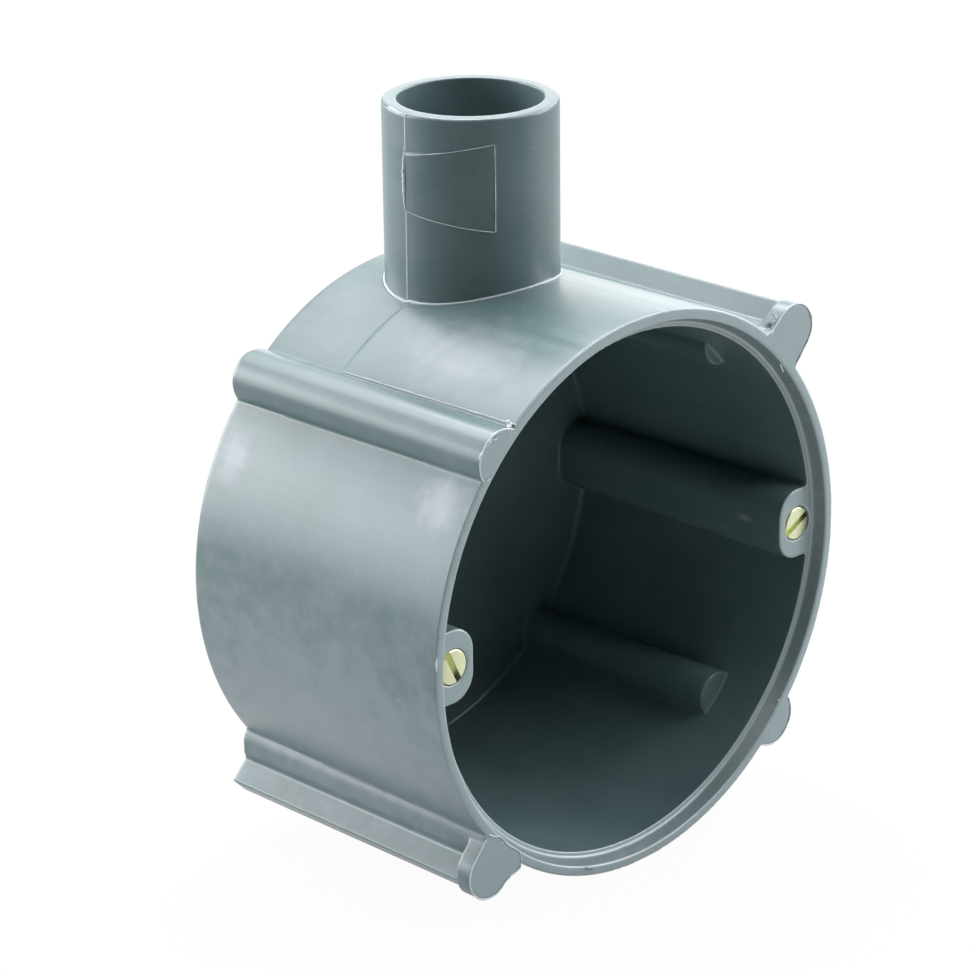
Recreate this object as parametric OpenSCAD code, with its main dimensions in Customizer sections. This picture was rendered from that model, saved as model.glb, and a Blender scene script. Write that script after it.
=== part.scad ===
// Round flush back box that is built into a wall. A moulded cup opens towards -Y,
// a conduit spout stands on its top, and two screws in its posts hold the device.
// The origin is the middle of the back face. Lengths are in millimetres.

/* [Screws] */
// Distance between the two screw axes
screw_spacing = 60; // [50:0.1:75]
// Radius of a screw's head
head_radius = 2.1; // [1.8:0.05:2.6]
// Height of a screw's head
head_height = 1.8; // [1.2:0.1:3]
// Radius of a screw's shank, over its thread
shank_radius = 1.6; // [1.2:0.05:1.75]
// Length of a screw under its head
shank_length = 14; // [8:0.5:25]
// Width of the driver slot
slot_width = 0.8; // [0.5:0.05:1.2]
// Depth of the driver slot
slot_depth = 0.9; // [0.5:0.05:1.1]
// Angle at which each slot came to rest, left and right, in degrees
left_slot_angle = -64; // [-90:1:90]
right_slot_angle = 25; // [-90:1:90]

/* [Cup] */
// Depth from the rim to the back face
cup_depth = 41.4; // [32:0.1:65]
// How far the rim reaches past a screw's axis
rim_margin = 4.5; // [4:0.1:8]
// Wall between the outside and the inside of the cup
wall = 2.45; // [1.8:0.05:3.2]
// How much smaller the outer radius is at the back
outer_draft = 0.4; // [0.1:0.1:1.5]
// How much smaller the inner radius is at the floor
inner_draft = 0.5; // [0.1:0.1:1.5]
// Thickness of the floor
floor_wall = 2.2; // [1.6:0.1:4]
// Bevel between the floor and the wall, inside
floor_bevel = 1.4; // [0.4:0.1:3]
// Round edge of the back face
back_edge = 1; // [0.2:0.1:1.5]

/* [Lid rebate] */
// Depth of the rebate from the rim to the ledge
rebate_depth = 1.75; // [1:0.05:3]
// Thickness of the rim
rim_wall = 1.15; // [0.7:0.05:1.6]
// How much the rebate narrows down to the ledge
rebate_taper = 0.7; // [0.1:0.05:0.9]

/* [Spout] */
// Outer radius of the spout
spout_radius = 10.5; // [9.5:0.1:12]
// Radius of the conduit socket
socket_radius = 8.7; // [7.5:0.05:9]
// Radius of the throat below the conduit stop
throat_radius = 7.2; // [5:0.1:7.4]
// How far the spout rises above the rim's radius
spout_rise = 21; // [15:0.5:35]
// Height of the conduit stop above the rim's radius
stop_rise = 3.5; // [1:0.25:8]
// Distance of the spout's axis from the back face
spout_back = 13.5; // [12.8:0.1:18]
// Round edge of the spout's top, outside
spout_edge = 0.4; // [0.2:0.05:0.8]

/* [Screw posts] */
// Distance from the screw's axis to the post's inner face
post_reach = 3.25; // [2.8:0.05:5]
// Width of a post
post_width = 9; // [7.4:0.1:12]
// Round corner of a post
post_corner = 3.2; // [1:0.1:3.5]
// Depth of the posts' faces below the rim
post_setback = 1.86; // [1.2:0.02:6]

/* [Outer ribs] */
// Radius of the round bars
bar_radius = 3.5; // [2.5:0.1:5]
// How far a bar's axis lies inside the rim's radius
bar_sink = 1; // [0:0.1:2]
// Round edge of a bar's back end
bar_edge = 0.4; // [0.2:0.1:1.5]
// Radius of the round neck under a fin
neck_radius = 4.1; // [3.6:0.1:5.5]
// How far the neck's axis lies inside the rim's radius
neck_sink = 1.6; // [1:0.1:2.5]
// How far a fin reaches past the rim's radius
fin_reach = 5.5; // [4:0.1:8]
// Thickness of a fin at its free edge
fin_tip = 2.8; // [2:0.1:4.5]
// Thickness of a fin where it leaves the neck
fin_root = 2.9; // [2.4:0.1:4.5]
// Round corner of a fin's free edge
fin_edge = 0.4; // [0.1:0.05:0.8]
// Thickness of the stop cap on a fin's front end
cap_thick = 2.3; // [1.5:0.1:5]
// How far a stop cap reaches past the rim's radius
cap_reach = 6.15; // [5:0.05:9]
// Radius of a stop cap's round end
cap_radius = 3.25; // [2.8:0.05:4]
// Width of a stop cap where it leaves the wall
cap_root = 7; // [6:0.1:9]

/* [Inner ribs] */
// Radius of the half-round ribs on the inner wall
inner_rib_radius = 2.9; // [1.5:0.1:4]
// Depth below the rim of the ribs behind the bars
bar_rib_setback = 8.3; // [4:0.1:20]
// Depth below the rim of the ribs behind the fins
fin_rib_setback = 9; // [4:0.1:20]
// How much less the ribs behind the fins stand out
fin_rib_sink = 1.3; // [0:0.1:1.8]

/* [Mould marks] */
// Height of the step that the mould's front slide left on the top
slide_step = 0.15; // [0.05:0.01:0.3]
// Half the width of that slide
slide_half = 21.5; // [14:0.1:23]
// Height of the insert's pad on the spout
pad_step = 0.12; // [0.05:0.01:0.3]
// Width of the pad
pad_width = 10.9; // [6:0.1:14]
// Height of the pad at its left and at its right edge
pad_left = 6.7; // [4:0.1:10]
pad_right = 10.5; // [6:0.1:13]
// Depth of the pad's middle below the spout's top
pad_drop = 8.3; // [7.5:0.1:10]
// Direction that the pad faces, about the spout's axis from -Y, in degrees
pad_turn = -61; // [-80:1:80]

/* [Hidden] */
$fn = 96;
// Overrun of a cut past the surface that it opens
over = 1;
// Clearance round a screw's head, and round its thread
head_gap = 0.2;
thread_gap = 0.05;
// Length of a screw's hole past the tip, and height of the tip's cone
hole_spare = 2;
tip_height = 1.2;

screw_x = screw_spacing / 2;
rim_radius = screw_x + rim_margin;
back_radius = rim_radius - outer_draft;
ledge_radius = rim_radius - wall;
floor_radius = ledge_radius - inner_draft;
rebate_mouth = rim_radius - rim_wall;
rebate_foot = rebate_mouth - rebate_taper;
ledge_height = cup_depth - rebate_depth;
// A circle inside the wall, all the way from the floor to the ledge
mid_wall = back_radius - wall / 2;
spout_top = rim_radius + spout_rise;
stop_height = rim_radius + stop_rise;
post_face = cup_depth - post_setback;
cap_axis = rim_radius + cap_reach - cap_radius;
fin_end = rim_radius + fin_reach;
neck_axis = rim_radius - neck_sink;
// Directions of the outer ribs, in degrees; each has a twin opposite
BAR_ANGLE = 135;
FIN_ANGLE = 45;

// Turns the depth of a profile or an outline, drawn upwards from the back face, to -Y
module from_back() rotate([90, 0, 0]) children();

// Copies a rib to its own direction and to the opposite one
module rib_pair(angle) {
    for (turn = [angle, angle + 180]) rotate([0, 0, turn]) children();
}

// The cup's outside, drafted, with a round edge at the back
module cup_outside() {
    rotate_extrude() {
        polygon([
            [0, 0], [back_radius - back_edge, 0], [back_radius, back_edge],
            [rim_radius, cup_depth], [0, cup_depth]
        ]);
        translate([back_radius - back_edge, back_edge]) circle(r = back_edge);
    }
}

// The cup's inside, with the ledge and the tapered rebate that seat a lid
module cup_cavity() {
    cut_mouth = rebate_mouth + rebate_taper * over / rebate_depth;
    rotate_extrude() polygon([
        [0, floor_wall], [floor_radius - floor_bevel, floor_wall],
        [floor_radius, floor_wall + floor_bevel], [ledge_radius, ledge_height],
        [rebate_foot, ledge_height], [cut_mouth, cup_depth + over], [0, cup_depth + over]
    ]);
}

// A round bar down the outside, half sunk in the wall, with a round back end
module outer_bar() {
    translate([rim_radius - bar_sink, 0, 0]) rotate_extrude() {
        polygon([
            [0, 0], [bar_radius - bar_edge, 0], [bar_radius, bar_edge],
            [bar_radius, cup_depth], [0, cup_depth]
        ]);
        translate([bar_radius - bar_edge, bar_edge]) circle(r = bar_edge);
    }
}

// Cross-section of a fin on its round neck; X runs outwards
module fin_outline() {
    translate([neck_axis, 0]) circle(r = neck_radius);
    polygon([
        [mid_wall, -fin_root / 2], [rim_radius + neck_sink, -fin_root / 2],
        [fin_end - fin_edge, -fin_tip / 2], [fin_end, fin_edge - fin_tip / 2],
        [fin_end, fin_tip / 2 - fin_edge], [fin_end - fin_edge, fin_tip / 2],
        [rim_radius + neck_sink, fin_root / 2], [mid_wall, fin_root / 2]
    ]);
    for (side = [-1, 1]) {
        translate([fin_end - fin_edge, side * (fin_tip / 2 - fin_edge)]) circle(r = fin_edge);
    }
}

// Outline of the stop cap that closes a fin at the rim
module cap_outline() {
    translate([cap_axis, 0]) circle(r = cap_radius);
    polygon([
        [mid_wall, -cap_root / 2], [cap_axis, -cap_radius],
        [cap_axis, cap_radius], [mid_wall, cap_root / 2]
    ]);
}

module capped_fin() {
    linear_extrude(cup_depth) fin_outline();
    translate([0, 0, cup_depth - cap_thick]) linear_extrude(cap_thick) cap_outline();
}

// The thin step on the top where the mould's front slide met the other half
module slide_patch() {
    parting_radius = back_radius + outer_draft * spout_back / cup_depth;
    intersection() {
        rotate_extrude() polygon([
            [mid_wall, spout_back], [parting_radius + slide_step, spout_back],
            [rim_radius + slide_step, cup_depth], [mid_wall, cup_depth]
        ]);
        translate([-slide_half, 0, spout_back]) {
            cube([2 * slide_half, rim_radius + over, cup_depth - spout_back]);
        }
    }
}

// The thin pad that a mould insert left on the spout
module spout_pad() {
    intersection() {
        cylinder(r = spout_radius + pad_step, h = spout_top - spout_edge);
        rotate([90, 0, pad_turn]) linear_extrude(spout_radius + over) {
            translate([0, spout_top - pad_drop]) polygon([
                [-pad_width / 2, -pad_left / 2], [pad_width / 2, -pad_right / 2],
                [pad_width / 2, pad_right / 2], [-pad_width / 2, pad_left / 2]
            ]);
        }
    }
}

// The spout as a solid column from the cup's axis up
module spout_column() {
    rotate_extrude() {
        polygon([
            [0, 0], [spout_radius, 0], [spout_radius, spout_top - spout_edge],
            [spout_radius - spout_edge, spout_top], [0, spout_top]
        ]);
        translate([spout_radius - spout_edge, spout_top - spout_edge]) circle(r = spout_edge);
    }
    spout_pad();
}

// The conduit's socket down to its stop, and the throat into the cup
module spout_bore() {
    cylinder(r = throat_radius, h = spout_top);
    translate([0, 0, stop_height]) {
        cylinder(r = socket_radius, h = spout_top - stop_height + over);
    }
}

// Cross-section of a post, rounded towards the cup's axis and merged with the wall
module post_outline() {
    corner_x = screw_x - post_reach + post_corner;
    corner_y = post_width / 2 - post_corner;
    intersection() {
        circle(r = mid_wall);
        union() {
            for (side = [-1, 1]) translate([corner_x, side * corner_y]) circle(r = post_corner);
            translate([corner_x - post_corner, -corner_y]) square([rim_radius, 2 * corner_y]);
            translate([corner_x, -post_width / 2]) square([rim_radius, post_width]);
        }
    }
}

// A half-round rib on the inner wall, drawn from the floor up
module inner_rib(setback, sink) {
    linear_extrude(cup_depth - setback - floor_wall / 2) intersection() {
        circle(r = mid_wall);
        translate([ledge_radius + sink, 0]) circle(r = inner_rib_radius);
    }
}

// All that stands inside the cup, rooted in the middle of the floor's thickness
module cup_inside() {
    translate([0, 0, floor_wall / 2]) {
        for (turn = [0, 180]) rotate([0, 0, turn]) {
            linear_extrude(post_face - floor_wall / 2) post_outline();
        }
        rib_pair(BAR_ANGLE) inner_rib(bar_rib_setback, 0);
        rib_pair(FIN_ANGLE) inner_rib(fin_rib_setback, fin_rib_sink);
    }
}

// A screw's hole in its post: the recess for the head, then the threaded length
module screw_hole() {
    translate([0, 0, post_face - head_height]) {
        cylinder(r = head_radius + head_gap, h = head_height + over);
    }
    depth = shank_length + hole_spare;
    translate([0, 0, post_face - head_height - depth]) {
        cylinder(r = shank_radius + thread_gap, h = depth + over);
    }
}

// A cheese-head screw, flush with its post, its slot turned by the given angle
module device_screw(slot_angle) {
    seat = post_face - head_height;
    difference() {
        union() {
            translate([0, 0, seat]) cylinder(r = head_radius, h = head_height);
            translate([0, 0, seat - shank_length + tip_height]) {
                cylinder(r = shank_radius, h = shank_length - tip_height);
            }
            translate([0, 0, seat - shank_length]) {
                cylinder(r1 = shank_radius / 2, r2 = shank_radius, h = tip_height);
            }
        }
        rotate([0, 0, slot_angle]) {
            translate([-head_radius - over, -slot_width / 2, post_face - slot_depth]) {
                cube([2 * (head_radius + over), slot_width, slot_depth + over]);
            }
        }
    }
}

// The moulded box
module box_body() {
    color("slategray") difference() {
        union() {
            difference() {
                union() {
                    translate([0, -spout_back, 0]) spout_column();
                    from_back() {
                        cup_outside();
                        rib_pair(BAR_ANGLE) outer_bar();
                        rib_pair(FIN_ANGLE) capped_fin();
                        slide_patch();
                    }
                }
                from_back() cup_cavity();
            }
            from_back() cup_inside();
        }
        translate([0, -spout_back, 0]) spout_bore();
        from_back() {
            for (side = [-1, 1]) translate([side * screw_x, 0, 0]) screw_hole();
        }
    }
}

module screw_left() {
    color("khaki") from_back() {
        translate([-screw_x, 0, 0]) device_screw(left_slot_angle);
    }
}

module screw_right() {
    color("khaki") from_back() {
        translate([screw_x, 0, 0]) device_screw(right_slot_angle);
    }
}

box_body();
screw_left();
screw_right();
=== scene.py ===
"""Looks of a round flush back box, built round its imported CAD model.

The box is one grey PVC moulding with two slotted screws. Each part is drawn in
millimetres, standing on its back face with the rim up, and is turned to the
row's frame and to metres when it is finished.
"""

import logging
import math
from collections.abc import Iterable, Sequence
from dataclasses import dataclass, field
from enum import Enum

import bmesh
import bpy
from mathutils import Matrix, Vector


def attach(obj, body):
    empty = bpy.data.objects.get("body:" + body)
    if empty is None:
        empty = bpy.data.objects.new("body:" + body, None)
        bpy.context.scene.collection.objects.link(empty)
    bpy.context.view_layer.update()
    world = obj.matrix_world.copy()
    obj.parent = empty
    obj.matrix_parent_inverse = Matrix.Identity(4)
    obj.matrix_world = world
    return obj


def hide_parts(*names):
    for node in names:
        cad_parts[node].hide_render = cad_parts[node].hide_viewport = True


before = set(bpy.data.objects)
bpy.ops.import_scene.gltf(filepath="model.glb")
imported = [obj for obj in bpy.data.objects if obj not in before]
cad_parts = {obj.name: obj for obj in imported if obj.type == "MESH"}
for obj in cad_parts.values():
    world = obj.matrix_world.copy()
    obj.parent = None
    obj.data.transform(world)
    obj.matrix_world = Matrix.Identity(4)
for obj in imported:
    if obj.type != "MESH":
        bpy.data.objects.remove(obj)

LOG = logging.getLogger("back_box")
MM = 0.001
PHOTO_LONG_SIDE = 971
ROOT = "root"
# Turns what stands on its back face, in millimetres, to the row's frame in metres
FROM_BACK = Matrix.Scale(MM, 4) @ Matrix.Rotation(math.radians(90), 4, "X")
# How near a plane a vertex counts as lying on it, in millimetres
TOUCH = 1e-4
WHITE = "#FFFFFF"
# CAD nodes of the screws, their sides and the turns of their slots in degrees
SCREWS = (("screw_left", -1, -64.0), ("screw_right", 1, 25.0))

Point = tuple[float, float]
Place = tuple[float, float, float]
Path = tuple[Place, ...]
Solid = bpy.types.Mesh
Socket = bpy.types.NodeSocket


class Rib(Enum):
    """Directions of the ribs about the cup's axis, in degrees from +X to +Z."""

    BAR = 135.0
    FIN = 45.0
    POST = 0.0


class Quality(Enum):
    """Edge of a voxel that fuses the moulding, in millimetres, and its triangles."""

    FULL = (0.17, 170_000)
    TRIAL = (0.4, 60_000)


def linear(code: str) -> tuple[float, float, float, float]:
    """Turns an sRGB colour into Blender's linear values.

    Args:
        code: Six hex digits, with or without a leading hash.

    Returns:
        Red, green, blue and an alpha of 1.
    """
    text = code.lstrip("#")
    channels = [int(text[i : i + 2], 16) / 255 for i in (0, 2, 4)]
    low, step = 0.04045, 12.92
    turned = [c / step if c <= low else ((c + 0.055) / 1.055) ** 2.4 for c in channels]
    return (turned[0], turned[1], turned[2], 1.0)


def add_node(
    tree: bpy.types.NodeTree, kind: str, inputs: dict | None = None, **settings: object
) -> bpy.types.Node:
    """Adds a node, sets its properties, and links or sets its inputs.

    Args:
        tree: The node tree that gets the node.
        kind: The node's class name in bpy.
        inputs: Values or output sockets by input name or number.
        settings: The node's own properties.

    Returns:
        The new node.
    """
    node = tree.nodes.new(kind)
    for name, value in settings.items():
        setattr(node, name, value)
    for key, value in (inputs or {}).items():
        if isinstance(value, Socket):
            tree.links.new(value, node.inputs[key])
        else:
            node.inputs[key].default_value = value
    return node


def blank_material(name: str) -> tuple[bpy.types.Material, bpy.types.NodeTree]:
    """Makes a material without nodes.

    Args:
        name: The material's name.

    Returns:
        The material and its empty tree.
    """
    made = bpy.data.materials.new(name)
    made.use_nodes = True
    made.node_tree.nodes.clear()
    return made, made.node_tree


def blank_geometry(name: str, inputs: dict[str, str]) -> bpy.types.NodeTree:
    """Makes a geometry tree without nodes.

    Args:
        name: The tree's name.
        inputs: Kinds of the sockets that it takes besides a mesh and a material.

    Returns:
        The tree.
    """
    tree = bpy.data.node_groups.new(name, "GeometryNodeTree")
    face = tree.interface
    for label, kind in {"Geometry": "Geometry", **inputs, "Material": "Material"}.items():
        face.new_socket(label, in_out="INPUT", socket_type="NodeSocket" + kind)
    face.new_socket("Geometry", in_out="OUTPUT", socket_type="NodeSocketGeometry")
    return tree


def end_geometry(tree: bpy.types.NodeTree, shape: Socket, material: Socket) -> None:
    """Ends a geometry tree with real copies and one material.

    Args:
        tree: The tree.
        shape: What it has made.
        material: The material that the shape gets.
    """
    real = add_node(tree, "GeometryNodeRealizeInstances", {0: shape})
    dressed = add_node(
        tree, "GeometryNodeSetMaterial", {"Geometry": real.outputs[0], "Material": material}
    )
    add_node(tree, "NodeGroupOutput", {0: dressed.outputs[0]})


def mesh_from(rings: Sequence[Sequence[Vector]], closed: bool, capped: bool) -> Solid:
    """Skins rings of points that all have the same length.

    Args:
        rings: Closed rings of points, or single points as poles at either end.
        closed: Whether the last ring joins the first one.
        capped: Whether the two end rings are closed with a face.

    Returns:
        A closed mesh whose faces point outwards.
    """
    shape = bmesh.new()
    made = [[shape.verts.new(p) for p in ring] for ring in rings]
    pairs = list(zip(made, made[1:]))
    if closed:
        pairs.append((made[-1], made[0]))
    for low, high in pairs:
        count = max(len(low), len(high))
        for i in range(count):
            j = (i + 1) % count
            corners = [low[i % len(low)], low[j % len(low)]]
            corners += [high[j % len(high)], high[i % len(high)]]
            shape.faces.new(list(dict.fromkeys(corners)))
    if capped:
        shape.faces.new(made[0])
        shape.faces.new(made[-1])
    bmesh.ops.recalc_face_normals(shape, faces=shape.faces)
    mesh = bpy.data.meshes.new("solid")
    shape.to_mesh(mesh)
    shape.free()
    return mesh


def lathe(profile: Sequence[Point], steps: int) -> Solid:
    """Turns a profile about the Z axis.

    Args:
        profile: Points of radius and height; a radius of 0 makes a pole.
        steps: Facets round the axis.

    Returns:
        A closed mesh, a torus-like one where no point is a pole.
    """
    turns = [2 * math.pi * i / steps for i in range(steps)]
    rings = []
    for r, h in profile:
        circle = [Vector((r * math.cos(t), r * math.sin(t), h)) for t in turns]
        rings.append([Vector((0, 0, h))] if r == 0 else circle)
    return mesh_from(rings, closed=profile[0][0] > 0, capped=False)


def prism(outline: Sequence[Point], low: float, high: float) -> Solid:
    """Raises an outline between two heights.

    Args:
        outline: Corners of the cross-section.
        low: Height of its foot.
        high: Height of its top.

    Returns:
        A closed mesh.
    """
    rings = [[Vector((x, y, h)) for x, y in outline] for h in (low, high)]
    return mesh_from(rings, closed=False, capped=True)


def arc(centre: Point, radius: float, start: float, end: float, steps: int) -> list[Point]:
    """Gives points along an arc.

    Args:
        centre: Centre of the arc.
        radius: Its radius.
        start: First angle in degrees.
        end: Last angle in degrees.
        steps: Number of pieces.

    Returns:
        The points, both ends included.
    """
    angles = [math.radians(start + (end - start) * i / steps) for i in range(steps + 1)]
    return [(centre[0] + radius * math.cos(a), centre[1] + radius * math.sin(a)) for a in angles]


def held_within(outline: Iterable[Point], inner: float, outer: float) -> list[Point]:
    """Pulls an outline's points into a ring about the axis.

    Args:
        outline: Points of a cross-section.
        inner: Least distance from the axis.
        outer: Greatest distance from the axis.

    Returns:
        The moved points.
    """
    held = []
    for x, y in outline:
        reach = math.hypot(x, y)
        scale = min(max(reach, inner), outer) / reach
        held.append((x * scale, y * scale))
    return held


def turned(mesh: Solid, angle: float) -> Solid:
    """Turns a solid about the Z axis.

    Args:
        mesh: The solid, drawn towards +X.
        angle: The turn in degrees.

    Returns:
        The same solid.
    """
    mesh.transform(Matrix.Rotation(math.radians(angle), 4, "Z"))
    return mesh


class Workshop:
    """Makes solids out of others with modifiers, and leaves nothing behind."""

    # Takes the voxels' steps off the fused skin and rounds its edges a little
    SOFTEN_FACTOR = 0.5
    SOFTEN_PASSES = 2

    @staticmethod
    def _object(mesh: Solid) -> bpy.types.Object:
        """Puts a mesh into the scene as a helper."""
        helper = bpy.data.objects.new("helper", mesh)
        bpy.context.scene.collection.objects.link(helper)
        return helper

    @staticmethod
    def _result(helper: bpy.types.Object) -> Solid:
        """Returns a helper's mesh with its modifiers applied."""
        graph = bpy.context.evaluated_depsgraph_get()
        return bpy.data.meshes.new_from_object(helper.evaluated_get(graph))

    @classmethod
    def cut(cls, solid: Solid, cutters: Iterable[Solid]) -> Solid:
        """Cuts solids out of another one.

        Args:
            solid: What is cut.
            cutters: What is taken away.

        Returns:
            The cut solid.
        """
        body = cls._object(solid)
        tools = [cls._object(cutter) for cutter in cutters]
        for tool in tools:
            boolean = body.modifiers.new("cut", "BOOLEAN")
            boolean.operation, boolean.solver, boolean.object = "DIFFERENCE", "EXACT", tool
        result = cls._result(body)
        for helper in (body, *tools):
            bpy.data.objects.remove(helper)
        return result

    @classmethod
    def grow(cls, mesh: Solid, tree: bpy.types.NodeTree, values: dict[str, object]) -> Solid:
        """Runs a geometry tree on a mesh.

        Args:
            mesh: The mesh that goes in.
            tree: The geometry tree.
            values: Values by input name.

        Returns:
            A plain mesh of what the tree makes.
        """
        helper = cls._object(mesh)
        modifier = helper.modifiers.new("grow", "NODES")
        modifier.node_group = tree
        for item in tree.interface.items_tree:
            if item.item_type == "SOCKET" and item.in_out == "INPUT" and item.name in values:
                modifier[item.identifier] = values[item.name]
        result = cls._result(helper)
        helper.modifiers.remove(modifier)
        bpy.data.objects.remove(helper)
        return result

    @classmethod
    def fuse(cls, solids: Iterable[Solid], quality: Quality) -> Solid:
        """Fuses overlapping solids into one skin with softly rounded edges.

        Args:
            solids: Closed meshes in millimetres.
            quality: Voxel size and number of triangles.

        Returns:
            One closed mesh.
        """
        voxel, triangles = quality.value
        shape = bmesh.new()
        for solid in solids:
            shape.from_mesh(solid)
        mesh = bpy.data.meshes.new("stock")
        shape.to_mesh(mesh)
        shape.free()
        helper = cls._object(mesh)
        skin = helper.modifiers.new("skin", "REMESH")
        skin.mode, skin.voxel_size, skin.use_smooth_shade = "VOXEL", voxel, True
        soften = helper.modifiers.new("soften", "SMOOTH")
        soften.factor, soften.iterations = cls.SOFTEN_FACTOR, cls.SOFTEN_PASSES
        dense = cls._result(helper)
        helper.modifiers.clear()
        helper.data = dense
        thin = helper.modifiers.new("thin", "DECIMATE")
        # The skin is made of quads, which count as two triangles each
        thin.ratio = min(1.0, triangles / (2 * len(dense.polygons)))
        result = cls._result(helper)
        bpy.data.objects.remove(helper)
        return result


class TwinTree:
    """Geometry tree that copies a rib about the Z axis at even steps."""

    def __init__(self) -> None:
        """Builds the tree."""
        tree = blank_geometry("ribs_about_axis", {"Copies": "Int", "First angle": "Float"})
        given = add_node(tree, "NodeGroupInput").outputs
        step = add_node(
            tree, "ShaderNodeMath", {0: 2 * math.pi, 1: given["Copies"]}, operation="DIVIDE"
        )
        number = add_node(tree, "GeometryNodeInputIndex")
        turned = add_node(
            tree,
            "ShaderNodeMath",
            {0: number.outputs[0], 1: step.outputs[0], 2: given["First angle"]},
            operation="MULTIPLY_ADD",
        )
        turn = add_node(tree, "ShaderNodeCombineXYZ", {"Z": turned.outputs[0]})
        points = add_node(tree, "GeometryNodePoints", {"Count": given["Copies"]})
        copies = add_node(
            tree,
            "GeometryNodeInstanceOnPoints",
            {
                "Points": points.outputs[0],
                "Instance": given["Geometry"],
                "Rotation": turn.outputs[0],
            },
        )
        end_geometry(tree, copies.outputs[0], given["Material"])
        self.tree = tree

    def twins(self, rib: Solid, direction: Rib) -> Solid:
        """Copies a rib to its direction and to the opposite one.

        Args:
            rib: The rib, drawn towards +X.
            direction: Where the first copy stands.

        Returns:
            Both ribs as one mesh.
        """
        values = {"Copies": 2, "First angle": math.radians(direction.value)}
        return Workshop.grow(rib, self.tree, values)


@dataclass(frozen=True)
class CupSizes:
    """Sizes of the cup that its neighbours need too, in millimetres."""

    depth: float = 41.4
    rim_radius: float = 34.5
    outer_draft: float = 0.4
    wall: float = 2.45
    floor_wall: float = 2.2
    screw_x: float = 30.0
    root_depth: float = 0.4

    @property
    def back_radius(self) -> float:
        """Outer radius at the back."""
        return self.rim_radius - self.outer_draft

    @property
    def ledge_radius(self) -> float:
        """Inner radius under the lid's ledge."""
        return self.rim_radius - self.wall

    @property
    def mid_wall(self) -> float:
        """Radius inside the wall all the way down, outside the lid's rebate too."""
        return self.back_radius - self.root_depth

    def outer_radius(self, depth: float) -> float:
        """Gives the outer radius at a depth from the back face."""
        return self.back_radius + self.outer_draft * depth / self.depth


@dataclass
class Cup:
    """The round cup with its floor, its rim and the lid's rebate."""

    sizes: CupSizes
    inner_draft: float = 0.5
    floor_bevel: float = 0.6
    back_edge: float = 0.6
    rebate_depth: float = 1.75
    rim_wall: float = 1.15
    rebate_taper: float = 0.7
    slide_step: float = 0.18
    slide_half: float = 21.5
    slide_start: float = 13.5
    slide_steps: int = 48
    edge_steps: int = 6
    facets: int = 360

    def wall_solid(self) -> Solid:
        """Turns the cup's wall and floor as one profile."""
        s, bevel = self.sizes, self.floor_bevel
        floor_radius = s.ledge_radius - self.inner_draft
        mouth = s.rim_radius - self.rim_wall
        ledge = s.depth - self.rebate_depth
        corner = (s.back_radius - self.back_edge, self.back_edge)
        profile = [
            (0, 0),
            *arc(corner, self.back_edge, -90, 0, self.edge_steps),
            (s.rim_radius, s.depth),
            (mouth, s.depth),
            (mouth - self.rebate_taper, ledge),
            (s.ledge_radius, ledge),
            *arc((floor_radius - bevel, s.floor_wall + bevel), bevel, 0, -90, self.edge_steps),
            (0, s.floor_wall),
        ]
        return lathe(profile, self.facets)

    def slide_patch(self) -> Solid:
        """Builds the thin step that the mould's front slide left on the top."""
        s = self.sizes
        steps = self.slide_steps
        rings = []
        for depth in (self.slide_start, s.depth):
            outer = s.outer_radius(depth) + self.slide_step
            ring = []
            for radius, order in ((outer, range(steps + 1)), (s.mid_wall, range(steps, -1, -1))):
                for i in order:
                    x = self.slide_half * (2 * i / steps - 1)
                    ring.append(Vector((x, math.sqrt(radius**2 - x**2), depth)))
            rings.append(ring)
        return mesh_from(rings, closed=False, capped=True)


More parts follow.
